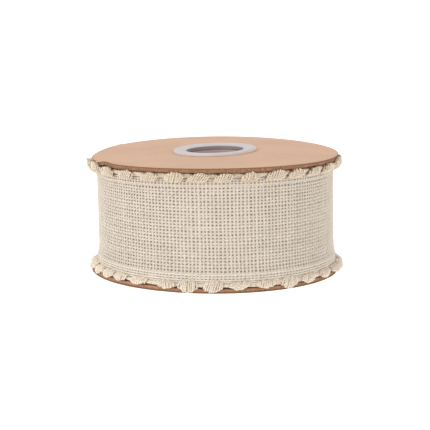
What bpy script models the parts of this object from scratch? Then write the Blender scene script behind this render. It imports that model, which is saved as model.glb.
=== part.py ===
"""A fringed wired ribbon, wound on a kraft board spool.

Metres, +Z up. The origin is the middle of the ring that the spool stands on, and -Y is the front.
"""

import math
import random

import bmesh
import bpy
from mathutils import Vector

MM = 0.001
FULL_TURN = 2 * math.pi
FRONT = -math.pi / 2

# Board discs
BOARD_RADIUS = 45.0 * MM
BOARD_THICKNESS = 1.2 * MM
BOARD_HOLE_RADIUS = 12.0 * MM
BOARD_SIDES = 56

# The plastic hub: a flanged tube from below, closed by a flanged cap from above
FLANGE_RADIUS = 15.0 * MM
FLANGE_HEIGHT = 1.3 * MM
FOOT_INNER_RADIUS = 13.0 * MM
FOOT_OUTER_RADIUS = 14.5 * MM
TUBE_INNER_RADIUS = 10.7 * MM
TUBE_OUTER_RADIUS = 11.7 * MM
CAP_MOUTH_RADIUS = 10.35 * MM
CAP_BORE_RADIUS = 9.6 * MM
CAP_SLEEVE_RADIUS = 10.2 * MM
CAP_SHOULDER_RADIUS = 11.4 * MM
CAP_SLEEVE_DEPTH = 7.0 * MM
CAP_TILT = math.radians(2.0)
HUB_SIDES = 36

# The wound ribbon
RIBBON_GAP = 40.2 * MM
ROLL_RADIUS = 42.35 * MM
TURN_THICKNESS = 1.13 * MM
TURN_END = math.radians(90)
TURN_END_RAMP = math.radians(3)
ROLL_LEAN = -0.0205
ROLL_SIDES = 60
SELVAGE_WIDTH = 2.3 * MM
SELVAGE_THICKNESS = 1.15 * MM
SELVAGE_FROM_BOARD = 2.4 * MM
FLARE_BELOW = 0.45 * MM
FLARE_ABOVE = 0.1 * MM

# The looped fringe: bunches of locks. Those in front are placed in degrees round from the front
FRONT_PUFFS_BELOW = (-48.3, -36.0, -22.9, -12.4, -0.9, 11.0, 22.6, 34.7, 46.2, 58.5, 68.8)
FRONT_PUFFS_ABOVE = (-55.4, -44.0, -30.5, -18.2, -7.7, 3.9, 15.7, 27.7, 38.6, 50.8, 61.5, 73.9)
PUFF_SPACING = 11.6
LOCKS_PER_PUFF = 4
LOCK_SPACING = 1.42 * MM
FRINGE_REACH = 46.8 * MM
FRINGE_HEIGHT = 4.3 * MM
LINK_RADIUS = 0.75 * MM

# Spaces between pieces that touch
CLEAR = 0.3 * MM

# Heights
BOTTOM_BOARD_Z = FLANGE_HEIGHT
ROLL_FLOOR_Z = BOTTOM_BOARD_Z + BOARD_THICKNESS
ROLL_CEILING_Z = ROLL_FLOOR_Z + RIBBON_GAP
TOP_FACE_Z = ROLL_CEILING_Z + BOARD_THICKNESS
MIDDLE_Z = (ROLL_FLOOR_Z + ROLL_CEILING_Z) / 2

# The top board is not flat: at its rim it rises to the right, and droops to both sides
BOARD_TILT = 0.475 * MM
BOARD_BOW = 0.83 * MM
CREASE_AT = 39.5 * MM
CREASE_SLOPE = 0.11


def board_rise(x, y):
    """How far the top board stands above its middle: by the hub it lies as the cap does."""
    across = x / BOARD_RADIUS
    by_hub = math.tan(CAP_TILT) * x
    at_rim = BOARD_TILT * across - BOARD_BOW * across**2
    outward = (math.hypot(x, y) - FLANGE_RADIUS) / (BOARD_RADIUS - FLANGE_RADIUS)
    outward = min(max(outward, 0.0), 1.0)
    share = outward**2 * (3 - 2 * outward)
    return by_hub + (at_rim - by_hub) * share - CREASE_SLOPE * max(0.0, -x - CREASE_AT)


def edge_rise(angle):
    """How far the ribbon's upper edge follows the board above it, at an angle round the axis."""
    return board_rise(ROLL_RADIUS * math.cos(angle), ROLL_RADIUS * math.sin(angle))


def turn_growth(angle):
    """How far the outermost turn stands out from the mean, as it winds on towards its end at the back."""
    since_end = (angle - TURN_END) % FULL_TURN
    if since_end > FULL_TURN - TURN_END_RAMP:
        return TURN_THICKNESS * ((FULL_TURN - since_end) / TURN_END_RAMP - 0.5)
    return TURN_THICKNESS * (since_end / (FULL_TURN - TURN_END_RAMP) - 0.5)


def angles_round(count, extra=()):
    """Even steps round the axis, with extra angles put in their places."""
    even = [FULL_TURN * step / count for step in range(count)]
    return sorted(even + [angle % FULL_TURN for angle in extra])


def roll_angles():
    """Even steps round the roll, with both sides of the ramp where the last turn ends."""
    return angles_round(ROLL_SIDES, (TURN_END - 0.001, TURN_END - TURN_END_RAMP))


def at(radius, angle, z):
    return Vector((radius * math.cos(angle), radius * math.sin(angle), z))


def leaning(point):
    """The roll leans a little to the left, as its turns don't lie quite square."""
    return point + Vector((ROLL_LEAN * (point.z - MIDDLE_Z), 0, 0))


def clear_scene():
    for thing in list(bpy.data.objects):
        bpy.data.objects.remove(thing)


def material(name, colour, roughness):
    made = bpy.data.materials.new(name)
    made.use_nodes = True
    shader = made.node_tree.nodes["Principled BSDF"]
    shader.inputs["Base Color"].default_value = (*colour, 1.0)
    shader.inputs["Roughness"].default_value = roughness
    shader.inputs["Metallic"].default_value = 0.0
    return made


def add_object(name, mesh_data, finish):
    bmesh.ops.recalc_face_normals(mesh_data, faces=mesh_data.faces)
    mesh = bpy.data.meshes.new(name)
    mesh_data.to_mesh(mesh)
    mesh_data.free()
    mesh.shade_smooth()
    mesh.set_sharp_from_angle(angle=math.radians(35))
    mesh.materials.append(finish)
    made = bpy.data.objects.new(name, mesh)
    bpy.context.scene.collection.objects.link(made)
    return made


def add_sections(mesh_data, sections, closed):
    """Skins a row of like sections, as a ring if closed, or else as a bar with ends."""
    rows = [[mesh_data.verts.new(point) for point in section] for section in sections]
    following = rows[1:] + rows[:1] if closed else rows[1:]
    for row, after in zip(rows, following):
        for corner in range(len(row)):
            beside = (corner + 1) % len(row)
            mesh_data.faces.new((row[corner], row[beside], after[beside], after[corner]))
    if not closed:
        mesh_data.faces.new(rows[0])
        mesh_data.faces.new(rows[-1][::-1])


def ring(name, angles, profile_at, finish):
    """A solid ring round the axis: profile_at(angle) gives the corners of its section there."""
    mesh_data = bmesh.new()
    add_sections(mesh_data, [profile_at(angle) for angle in angles], closed=True)
    return add_object(name, mesh_data, finish)


def turned(name, corners, sides, finish):
    """A ring of one section: corners are (radius, z)."""

    def profile(angle):
        return [at(radius, angle, z) for radius, z in corners]

    return ring(name, angles_round(sides), profile, finish)


def make_bottom_board(finish):
    low, high = BOTTOM_BOARD_Z, BOTTOM_BOARD_Z + BOARD_THICKNESS
    corners = (
        (BOARD_HOLE_RADIUS, low),
        (BOARD_RADIUS, low),
        (BOARD_RADIUS, high),
        (BOARD_HOLE_RADIUS, high),
    )
    return turned("board_bottom", corners, BOARD_SIDES, finish)


def make_top_board(finish):
    """The upper board, warped, and creased where its left side was knocked."""
    stations = (BOARD_HOLE_RADIUS, 18 * MM, 26 * MM, 34 * MM, 40 * MM, BOARD_RADIUS)

    def profile(angle):
        lower = [at(radius, angle, ROLL_CEILING_Z) for radius in stations]
        upper = [at(radius, angle, TOP_FACE_Z) for radius in reversed(stations)]
        return [point + Vector((0, 0, board_rise(point.x, point.y))) for point in lower + upper]

    return ring("board_top", angles_round(BOARD_SIDES), profile, finish)


def make_hub_tube(finish):
    """The tube that the ribbon is wound on, with the flange that the spool stands on."""
    lip_top = FLANGE_HEIGHT - CLEAR
    tube_top = ROLL_CEILING_Z - 0.5 * MM
    corners = (
        (TUBE_INNER_RADIUS, tube_top),
        (TUBE_INNER_RADIUS, 0.75 * MM),
        (FOOT_INNER_RADIUS, 0.0),
        (FOOT_OUTER_RADIUS, 0.0),
        (FLANGE_RADIUS, 0.4 * MM),
        (FLANGE_RADIUS, lip_top),
        (TUBE_OUTER_RADIUS, lip_top),
        (TUBE_OUTER_RADIUS, tube_top),
    )
    return turned("hub_tube", corners, HUB_SIDES, finish)


def make_hub_cap(finish):
    """The cap, pressed into the tube a little askew, with the board that it holds."""
    corners = (
        (CAP_SHOULDER_RADIUS, CLEAR),
        (FLANGE_RADIUS, CLEAR),
        (FLANGE_RADIUS, 0.9 * MM),
        (FLANGE_RADIUS - 0.6 * MM, FLANGE_HEIGHT),
        (CAP_MOUTH_RADIUS + 0.3 * MM, 0.75 * MM),
        (CAP_MOUTH_RADIUS, 0.5 * MM),
        (CAP_MOUTH_RADIUS, -0.7 * MM),
        (CAP_BORE_RADIUS, -0.8 * MM),
        (CAP_BORE_RADIUS, -CAP_SLEEVE_DEPTH),
        (CAP_SLEEVE_RADIUS, -CAP_SLEEVE_DEPTH),
        (CAP_SLEEVE_RADIUS, -1.0 * MM),
        (CAP_SHOULDER_RADIUS, -1.0 * MM),
    )
    cap = turned("hub_cap", corners, HUB_SIDES, finish)
    cap.location = (0, 0, TOP_FACE_Z)
    cap.rotation_euler = (0, -CAP_TILT, 0)
    return cap


def make_roll(finish):
    """The wound ribbon, cut back along both rims for the selvages of its outermost turn."""
    inner = TUBE_OUTER_RADIUS + CLEAR
    rebate = ROLL_RADIUS - SELVAGE_THICKNESS - CLEAR
    rebate_height = SELVAGE_FROM_BOARD + SELVAGE_WIDTH + CLEAR
    floor = ROLL_FLOOR_Z + CLEAR
    ceiling = ROLL_CEILING_Z + board_rise(-ROLL_RADIUS, 0.0) - CLEAR
    low_step = ROLL_FLOOR_Z + rebate_height
    high_step = ROLL_CEILING_Z - rebate_height
    wall = (
        (rebate, low_step),
        (ROLL_RADIUS + FLARE_BELOW, low_step),
        (ROLL_RADIUS + 0.3 * FLARE_BELOW, low_step + 2.0 * MM),
        (ROLL_RADIUS, low_step + 5.0 * MM),
        (ROLL_RADIUS, high_step - 5.0 * MM),
        (ROLL_RADIUS + FLARE_ABOVE, high_step),
        (rebate, high_step),
    )

    def profile(angle):
        growth = turn_growth(angle)
        points = [at(inner, angle, floor), leaning(at(rebate + growth, angle, floor))]
        for radius, z in wall:
            upper_share = (z - low_step) / (high_step - low_step)
            raised = z + edge_rise(angle) * upper_share**4
            points.append(leaning(at(radius + growth, angle, raised)))
        points.append(leaning(at(rebate + growth, angle, ceiling)))
        points.append(at(inner, angle, ceiling))
        return points

    return ring("ribbon_roll", roll_angles(), profile, finish)


def rim_point(radius, angle, height, upper):
    """A point at either edge of the ribbon, with its height counted from the board there."""
    if upper:
        return leaning(at(radius, angle, ROLL_CEILING_Z + edge_rise(angle) - height))
    return leaning(at(radius, angle, ROLL_FLOOR_Z + height))


def make_selvage(name, upper, finish):
    """The outermost turn's selvage, with the bundle of yarn along its edge that links the puffs."""
    inner = ROLL_RADIUS - SELVAGE_THICKNESS
    outer = ROLL_RADIUS + (FLARE_ABOVE if upper else FLARE_BELOW)
    link = SELVAGE_FROM_BOARD - 0.2 * MM
    corners = (
        (inner, SELVAGE_FROM_BOARD + SELVAGE_WIDTH),
        (outer, SELVAGE_FROM_BOARD + SELVAGE_WIDTH),
        (outer, link + LINK_RADIUS),
        (outer + LINK_RADIUS, link),
        (outer, link - LINK_RADIUS),
        (inner, link - LINK_RADIUS),
    )

    def profile(angle):
        growth = turn_growth(angle)
        return [rim_point(radius + growth, angle, height, upper) for radius, height in corners]

    return ring(name, roll_angles(), profile, finish)


def puff_places(front):
    """The puffs' angles in degrees from the front: given there, and even on to the turn's end behind."""
    end = math.degrees(TURN_END - FRONT)
    places = list(front)
    runs = ((front[-1], end - PUFF_SPACING / 2), (end + PUFF_SPACING / 2, 360 + front[0]))
    for index, (start, stop) in enumerate(runs):
        count = round((stop - start) / PUFF_SPACING)
        first = 1 - index
        places += [start + (stop - start) * step / count for step in range(first, count + first)]
    return places


def add_lock(mesh_data, path, widths, depths):
    """One lock of yarn loops: a four-sided bar along a bent path, thinner at its tip."""
    sections = []
    for index, point in enumerate(path):
        ahead = path[min(index + 1, len(path) - 1)] - path[max(index - 1, 0)]
        side = Vector((-point.y, point.x, 0))
        side = (side - ahead * side.dot(ahead) / ahead.length_squared).normalized()
        over = ahead.normalized().cross(side)
        half_side = side * widths[index] / 2
        half_over = over * depths[index] / 2
        corners = ((1, 1), (-1, 1), (-1, -1), (1, -1))
        sections.append([point + half_side * a + half_over * b for a, b in corners])
    add_sections(mesh_data, sections, closed=False)


def lock_path(middle, offset, slant, size, upper):
    """Out of the selvage's edge, over, and down: offset and slant run along the rim."""
    root = ROLL_RADIUS + turn_growth(middle)
    reach = (FRINGE_REACH - ROLL_RADIUS - 0.8 * MM) * size
    path = (
        (-0.1, 2.15 * MM, 0.0),
        (0.42, 2.95 * MM, 0.35),
        (1.0, 2.05 * MM, 0.8),
        (0.82, 0.95 * MM, 1.0),
    )
    points = []
    for outward, height, share in path:
        along = offset * (1.0 + 0.12 * share) + slant * share
        drop = FRINGE_HEIGHT - height if upper else height
        points.append(rim_point(root + outward * reach, middle + along / ROLL_RADIUS, drop, upper))
    return points


def make_fringe(name, front, upper, seed, finish):
    """Puffs of locks, each lock rooted in the selvage of the outermost turn and free from there."""
    chance = random.Random(seed)
    selvage = make_selvage(name, upper, finish)
    widths = [width * MM for width in (1.0, 1.25, 1.3, 0.95)]
    depths = [depth * MM for depth in (1.0, 1.5, 1.6, 1.0)]
    mesh_data = bmesh.new()
    for place in puff_places(front):
        middle = FRONT + math.radians(place)
        slant = chance.uniform(-0.4, 1.0) * MM
        size = chance.uniform(0.9, 1.0)
        for lock in range(LOCKS_PER_PUFF):
            beside = lock - (LOCKS_PER_PUFF - 1) / 2
            shorter = size * (1.0 - 0.06 * beside**2)
            path = lock_path(middle, beside * LOCK_SPACING, slant, shorter, upper)
            add_lock(mesh_data, path, widths, depths)
    locks = add_object(name + "_locks", mesh_data, finish)
    locks.hide_render = True
    locks.display_type = "WIRE"
    join = selvage.modifiers.new("join_locks", "BOOLEAN")
    join.operation = "UNION"
    join.solver = "EXACT"
    join.object = locks
    return selvage


def main():
    clear_scene()
    kraft = material("kraft_board", (0.66, 0.43, 0.29), 0.85)
    plastic = material("white_plastic", (0.80, 0.77, 0.75), 0.35)
    cloth = material("cream_cloth", (0.76, 0.68, 0.55), 0.9)
    yarn = material("cream_yarn", (0.80, 0.69, 0.53), 0.95)
    make_bottom_board(kraft)
    make_top_board(kraft)
    make_hub_tube(plastic)
    make_hub_cap(plastic)
    make_roll(cloth)
    make_fringe("fringe_bottom", FRONT_PUFFS_BELOW, False, 11, yarn)
    make_fringe("fringe_top", FRONT_PUFFS_ABOVE, True, 23, yarn)


main()
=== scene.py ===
"""A fringed wired ribbon on its spool: the looks of each piece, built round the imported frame.

Cloth and yarn are laid out flat first. There x runs along the ribbon from the back of the roll, y runs
across it, up from the lower board, and z stands off the cloth. A guide surface, the outermost turn, then
carries the yarn round the roll. Everything is in metres.
"""

import math
import random
from collections import namedtuple

import bpy
import numpy as np
from bpy.props import FloatProperty, FloatVectorProperty, IntProperty, PointerProperty
from mathutils import Matrix, Vector


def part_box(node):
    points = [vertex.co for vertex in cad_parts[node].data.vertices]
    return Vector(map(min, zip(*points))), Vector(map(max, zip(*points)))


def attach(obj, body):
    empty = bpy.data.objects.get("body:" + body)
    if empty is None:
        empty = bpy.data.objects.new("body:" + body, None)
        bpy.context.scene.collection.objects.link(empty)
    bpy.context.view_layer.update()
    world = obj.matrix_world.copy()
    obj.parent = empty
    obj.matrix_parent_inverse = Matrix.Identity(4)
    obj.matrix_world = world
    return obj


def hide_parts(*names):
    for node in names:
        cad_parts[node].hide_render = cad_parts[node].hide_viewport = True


bl_info = {
    "name": "Fringed ribbon on a spool",
    "version": (1, 0, 0),
    "blender": (4, 5, 0),
    "location": "3D View > Sidebar > Ribbon",
    "description": "Builds a wound open-weave ribbon, its looped fringe and its board spool",
    "category": "Object",
}

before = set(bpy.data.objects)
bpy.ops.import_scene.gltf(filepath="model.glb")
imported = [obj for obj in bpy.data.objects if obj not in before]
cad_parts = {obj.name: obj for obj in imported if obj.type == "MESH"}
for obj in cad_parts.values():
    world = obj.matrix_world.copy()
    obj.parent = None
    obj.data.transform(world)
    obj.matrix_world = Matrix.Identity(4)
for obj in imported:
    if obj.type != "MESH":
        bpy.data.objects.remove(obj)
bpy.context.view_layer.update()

MM = 0.001
FULL_TURN = 2 * math.pi

# Sizes that the frame gives
BOARD_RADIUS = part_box("board_bottom")[1].x
BOTTOM_BOARD_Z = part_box("board_bottom")[0].z
ROLL_FLOOR_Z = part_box("board_bottom")[1].z
BOARD_THICKNESS = ROLL_FLOOR_Z - BOTTOM_BOARD_Z
FLANGE_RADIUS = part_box("hub_tube")[1].x
TUBE_TOP_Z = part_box("hub_tube")[1].z

# Sizes that the frame's solids were made to
RIBBON_GAP = 40.2 * MM
ROLL_RADIUS = 42.35 * MM
TURN_THICKNESS = 1.13 * MM
TURN_END = math.radians(90)
TURNS_INSIDE = 25
ROLL_LEAN = -0.0205
FLARE_BELOW = 0.45 * MM
FLARE_ABOVE = 0.1 * MM
EDGE_FROM_BOARD = 2.4 * MM
SELVAGE_WIDTH = 2.3 * MM
BOARD_HOLE_RADIUS = 12.0 * MM
BOARD_TILT = 0.475 * MM
BOARD_BOW = 0.83 * MM
CREASE_AT = 39.5 * MM
CREASE_SLOPE = 0.11
CAP_TILT = math.radians(2.0)
CAP_MOUTH_RADIUS = 10.35 * MM
NICK_ANGLE = math.radians(145.0)
NICK_WIDTH = math.radians(1.6)
NICK_DEPTH = 0.8 * MM

# The fibres that hang from the top board's rim at the front: how far, in mm, and how widely, in degrees
FRAY_DEPTH = 0.4
FRAY_SPAN = 25.0

# Where the top board's rim is bent: at what angle and how widely, in degrees, and how high, in mm
RIM_WAVES = ((211.5, 4.5, 0.4), (202.5, 3.5, -0.35))

ROLL_CEILING_Z = ROLL_FLOOR_Z + RIBBON_GAP
TOP_FACE_Z = ROLL_CEILING_Z + BOARD_THICKNESS
MIDDLE_Z = (ROLL_FLOOR_Z + ROLL_CEILING_Z) / 2
FIELD_LOW = EDGE_FROM_BOARD + SELVAGE_WIDTH
FIELD_HIGH = RIBBON_GAP - FIELD_LOW
ONE_TURN = FULL_TURN * ROLL_RADIUS

# The outermost turn starts a little under its own end, and the guide is a little larger each way
TURN_START = -0.03 * ONE_TURN
GUIDE_LOW = (TURN_START - 2 * MM, -2 * MM)
GUIDE_HIGH = (ONE_TURN + 2 * MM, RIBBON_GAP + 1 * MM)
GUIDE_STEPS = (400, 60)

# The ways in which a puff's loops lie: their count, how far they turn edge on, in degrees, how wide each
# opens, in mm, and how wide and how deep the whole puff is for its kind
SHELL = (9, 85, 0.40, 1.0, 1.0)
FINGERS = (5, 20, 0.46, 0.95, 1.0)
LOOSE = (7, 60, 0.44, 0.95, 1.0)
PLUMP = (12, 80, 0.45, 1.2, 1.12)

# The puffs of fringe in front: degrees round from the middle, how far the end leans to the right and how
# far it passes its board's near face, in mm, and the kind
PUFFS_BELOW = (
    (-80.0, -1.0, 0.3, PLUMP),
    (-68.5, -0.6, 0.2, LOOSE),
    (-58.0, -0.8, 0.0, SHELL),
    (-48.3, -0.8, -0.2, LOOSE),
    (-36.5, -1.4, -0.2, SHELL),
    (-22.9, 0.8, 0.0, LOOSE),
    (-12.4, 0.0, 0.8, FINGERS),
    (-0.9, -1.4, 0.6, SHELL),
    (11.0, -2.4, -0.2, SHELL),
    (22.8, -1.6, -0.2, SHELL),
    (34.9, -2.2, 0.6, SHELL),
    (46.6, -2.6, 0.0, SHELL),
    (59.0, -2.2, -0.2, SHELL),
    (71.5, -1.2, -0.3, PLUMP),
)
PUFFS_ABOVE = (
    (-80.5, 0.6, 1.8, PLUMP),
    (-69.0, 1.2, 1.1, PLUMP),
    (-57.5, 2.6, 0.2, PLUMP),
    (-44.0, 3.0, 0.0, SHELL),
    (-30.5, 2.8, -0.2, SHELL),
    (-18.2, 1.6, 0.3, LOOSE),
    (-7.7, 2.8, 0.0, SHELL),
    (3.9, 1.8, -0.2, SHELL),
    (15.7, 1.2, 0.1, LOOSE),
    (27.7, 2.2, 0.3, SHELL),
    (38.6, 1.6, 0.0, LOOSE),
    (50.8, 1.4, -0.2, SHELL),
    (62.8, 1.2, 0.0, PLUMP),
    (76.0, 0.2, 0.9, PLUMP),
)

# The puffs behind: degrees from one to the next, and where the outermost turn ends between two of them
PUFF_SPACING = 11.6
BEHIND = 180.0

PUFF_HALF_WIDTH = 3.5 * MM
LEG_LENGTH = 5.0 * MM

# A leg of a fringe loop: share of its length, how far out of the cloth and from the board, in mm, and how
# much of the puff's width it has reached
LEG_BELOW = (
    (0.0, 0.0, 2.2, 0.80),
    (0.2, 1.3, 2.3, 0.90),
    (0.4, 2.3, 2.0, 0.96),
    (0.6, 2.9, 1.5, 1.00),
    (0.8, 3.1, 0.8, 1.00),
    (1.0, 2.9, 0.1, 0.92),
)
LEG_ABOVE = (
    (0.0, 0.1, 3.0, 0.80),
    (0.2, 1.3, 3.3, 0.88),
    (0.4, 2.4, 2.9, 0.95),
    (0.6, 3.0, 2.1, 1.00),
    (0.8, 3.2, 1.2, 1.00),
    (1.0, 2.9, 0.3, 0.95),
)

# The rows of loops in a puff: how many fewer than in the first, how far out, how wide and how thick
ROWS_BELOW = ((0, 1.0, 1.0, 1.2), (3, 0.88, 0.92, 1.9), (7, 0.62, 0.6, 3.4))
ROWS_ABOVE = ((0, 1.0, 1.0, 1.05), (3, 0.80, 0.92, 1.8), (7, 0.55, 0.6, 3.2))

# The yarns of a link between puffs: how far out and how far from the board, in mm, and how thick
LINK_BELOW = ((1.0, 0.85, 1.5), (1.5, 1.05, 1.6), (1.4, 1.4, 1.6), (0.8, 1.6, 1.5), (0.8, 1.2, 1.6))
LINK_ABOVE = ((1.1, 1.0, 1.5), (1.3, 1.35, 1.5), (1.1, 1.75, 1.4), (0.7, 1.9, 1.3), (0.6, 1.3, 1.5))

# The warps of a selvage: how far in from the ribbon's edge, how thick, how far out, and how pale, in mm and
# in shares. Their paleness is partly the binding yarn's own colour and partly painted light
SELVAGE_WARPS = (
    (-1.0, 1.7, 0.1, 0.5),
    (-0.3, 1.7, 0.35, 0.9),
    (0.5, 1.6, 0.4, 0.9),
    (1.4, 1.3, 0.42, 0.9),
    (2.3, 1.6, 0.35, 0.6),
)

# The camera, in metres and radians, and its focal length on a 36 mm sensor
CAMERA_PLACE = (0.0, -0.52876, 0.11365)
CAMERA_PITCH = 0.1746
CAMERA_LENS = 123.14

# The suns: the place that each shines from, its strength, and how wide it is, in degrees
SUNS = {"key": ((-0.95, -0.62, 0.40), 0.90, 50), "fill": ((0.60, -0.90, 0.35), 0.38, 60)}
ROOM_LIGHT = 0.88
ROOM_COLOUR = (1.0, 0.995, 0.99, 1.0)
FLOOR_GLOW = 0.95
FLOOR_HALF_WIDTH = 20.0


class Edge(namedtuple("Edge", "name node upper seed puffs leg rows link loop_tone_and_light link_tone_and_light warp_tone_and_light")):
    """What differs between the ribbon's two edges. Tones run from 0, the yarn's own, to 1, the palest."""

    def level(self, distance):
        """Where a place lies across the ribbon, from its distance to this edge's board."""
        return RIBBON_GAP - distance if self.upper else distance


# The lower edge's loops, links and selvage warps are paler and the upper edge's darker as painted light and
# shade; the yarn is the same on both edges
EDGES = (
    Edge(
        "lower", "fringe_bottom", False, 11, PUFFS_BELOW, LEG_BELOW, ROWS_BELOW, LINK_BELOW,
        loop_tone_and_light=(0.7, 1.0), link_tone_and_light=(0.5, 0.8), warp_tone_and_light=1.0,
    ),
    Edge(
        "upper", "fringe_top", True, 23, PUFFS_ABOVE, LEG_ABOVE, ROWS_ABOVE, LINK_ABOVE,
        loop_tone_and_light=(0.25, 0.6), link_tone_and_light=(0.2, 0.5), warp_tone_and_light=0.0,
    ),
)


def colour_property(label, description, default):
    return FloatVectorProperty(
        name=label, description=description, subtype="COLOR", size=3, min=0, max=1, default=default
    )


def length_property(label, description, default):
    return FloatProperty(name=label, description=description, unit="LENGTH", precision=5, default=default)


class BoardSettings(bpy.types.PropertyGroup):
    """The two kraft boards."""

    face: colour_property("Face", "Colour of the board's faces", (0.678, 0.448, 0.322))
    core: colour_property("Core", "Colour of the board's cut edge", (0.360, 0.190, 0.105))
    # The lining is partly the board's own colour and partly painted light: it is made paler to stand in for
    # light that the fringe keeps off the faces towards the ribbon
    lining_and_painted_light: colour_property("Lining", "Colour of the face towards the ribbon", (0.860, 0.520, 0.370))
    fibre: FloatProperty(name="Fibre", description="How strongly the fibres show", default=0.35, min=0, max=1)


class HubSettings(bpy.types.PropertyGroup):
    """The moulded hub."""

    plastic: colour_property("Plastic", "Colour of the hub", (0.595, 0.555, 0.543))
    # The bore colour is painted shade on the wall inside the hub's mouth
    bore_painted_shade: colour_property("Bore", "Colour of the dusty wall inside the hub", (0.270, 0.210, 0.195))


class RibbonSettings(bpy.types.PropertyGroup):
    """The woven ribbon."""

    cream: colour_property("Cream", "Colour of the cloth's yarn", (0.655, 0.586, 0.508))
    # Paler than the cloth's yarn; where the lower selvage's warps take it, it is partly painted light
    binding: colour_property("Binding", "Colour of the selvages' binding yarn", (0.850, 0.785, 0.705))
    # Paler and warmer than the cloth's yarn, as painted light in the shade between the turns
    under: colour_property("Under", "Colour of the turns that show through", (1.000, 0.820, 0.640))
    rows: IntProperty(name="Rows", description="Warp yarns between the selvages", default=27, min=4)
    column_pitch: length_property("Column pitch", "From one weft yarn to the next", 1.31 * MM)
    yarn_radius: length_property("Yarn radius", "Half the width of a yarn", 0.45 * MM)


class FringeSettings(bpy.types.PropertyGroup):
    """The looped fringe along both edges."""

    yarn: colour_property("Yarn", "Colour of the fringe's yarn", (0.835, 0.692, 0.532))
    # The palest loops' colour; the lower edge's loops lean to it as painted light
    pale: colour_property("Pale", "Colour of the palest loops", (0.980, 0.900, 0.800))
    # The inner fringe's orange-brown is painted reflection of the boards' brown light in the shaded gaps
    shaded: colour_property("Shaded", "Colour of the fringe inside the roll", (0.950, 0.600, 0.340))
    ply_radius: length_property("Ply radius", "Half the thickness of one of a yarn's two plies", 0.15 * MM)
    twist: length_property("Twist", "Length of yarn in which its plies turn once", 2.0 * MM)


class StageSettings(bpy.types.PropertyGroup):
    """The floor and the lights."""

    floor: colour_property("Floor", "Colour of the floor", (0.420, 0.420, 0.420))
    light: FloatProperty(name="Light", description="Strength of all the light", default=1.0, min=0)


def joined(*parts):
    """Points or vectors from the arrays, or single numbers, of their parts."""
    return np.stack(np.broadcast_arrays(*parts), axis=-1)


def board_rise(x, y):
    """How far the top board stands above its middle: by the hub it lies as the cap does."""
    across = x / BOARD_RADIUS
    by_hub = math.tan(CAP_TILT) * x
    at_rim = BOARD_TILT * across - BOARD_BOW * across**2
    outward = np.clip((np.hypot(x, y) - FLANGE_RADIUS) / (BOARD_RADIUS - FLANGE_RADIUS), 0.0, 1.0)
    share = outward**2 * (3 - 2 * outward)
    return by_hub + (at_rim - by_hub) * share - CREASE_SLOPE * np.maximum(0.0, -x - CREASE_AT)


def turn_point(along, across, out=0.0):
    """Points off the wound ribbon, from its flat coordinates: below 0 along are the turns inside."""
    turns = along / ONE_TURN
    angle = TURN_END + FULL_TURN * turns
    share = np.clip((across - FIELD_LOW) / (FIELD_HIGH - FIELD_LOW), 0.0, 1.0)
    edge_rise = board_rise(ROLL_RADIUS * np.cos(angle), ROLL_RADIUS * np.sin(angle))
    z = ROLL_FLOOR_Z + across + edge_rise * share**4
    stations = (FIELD_LOW, FIELD_LOW + 2 * MM, FIELD_LOW + 5 * MM, FIELD_HIGH - 5 * MM, FIELD_HIGH)
    flare = np.interp(across, stations, (FLARE_BELOW, 0.3 * FLARE_BELOW, 0, 0, FLARE_ABOVE))
    radius = ROLL_RADIUS + TURN_THICKNESS * (turns - 0.5) + flare + out
    x = radius * np.cos(angle) + ROLL_LEAN * (z - MIDDLE_Z)
    return joined(x, radius * np.sin(angle), z)


class Builder:
    """Adds nodes to one tree. A value fed to a node is a number, a vector, a socket or another node."""

    def __init__(self, tree):
        self.tree = tree

    def node(self, kind, inputs=None, **settings):
        made = self.tree.nodes.new(kind)
        made.location = (200 * len(self.tree.nodes), 0)
        for key, value in settings.items():
            setattr(made, key, value)
        for key, value in (inputs or {}).items():
            self.feed(made.inputs[key], value)
        return made

    def feed(self, socket, value):
        if isinstance(value, bpy.types.Node):
            value = value.outputs[0]
        if isinstance(value, bpy.types.NodeSocket):
            self.tree.links.new(value, socket)
        else:
            socket.default_value = value

    def math(self, operation, *values):
        return self.node("ShaderNodeMath", dict(enumerate(values)), operation=operation)

    def vector(self, operation, *values):
        return self.node("ShaderNodeVectorMath", dict(enumerate(values)), operation=operation)

    def scaled(self, vector, factor):
        return self.node("ShaderNodeVectorMath", {0: vector, "Scale": factor}, operation="SCALE")

    def attribute(self, name, kind="FLOAT_VECTOR"):
        return self.node("GeometryNodeInputNamedAttribute", {"Name": name}, data_type=kind)

    def stored(self, name, output="Fac"):
        """What a piece's points keep for its material."""
        return self.node("ShaderNodeAttribute", attribute_name=name).outputs[output]

    def part(self, vector, axis):
        return self.node("ShaderNodeSeparateXYZ", {0: vector}).outputs[axis]


# What the yarn's tree is given: each input's kind of socket and its usual value
YARN_INPUTS = {
    "Guide": ("Object", None),
    "Radius": ("Float", 0.25 * MM),
    "Plies": ("Int", 1),
    "Twist length": ("Float", 2.0 * MM),
    "Smoothness": ("Int", 2),
    "Step": ("Float", 0.0),
    "Sides": ("Int", 4),
    "Flatness": ("Float", 1.0),
    "Slub": ("Float", 0.0),
    "Slub length": ("Float", 3.0 * MM),
    "Wander": ("Float", 0.0),
    "Wander length": ("Float", 4.0 * MM),
    "Seed": ("Float", 0.0),
    "Material": ("Material", None),
}

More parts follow.
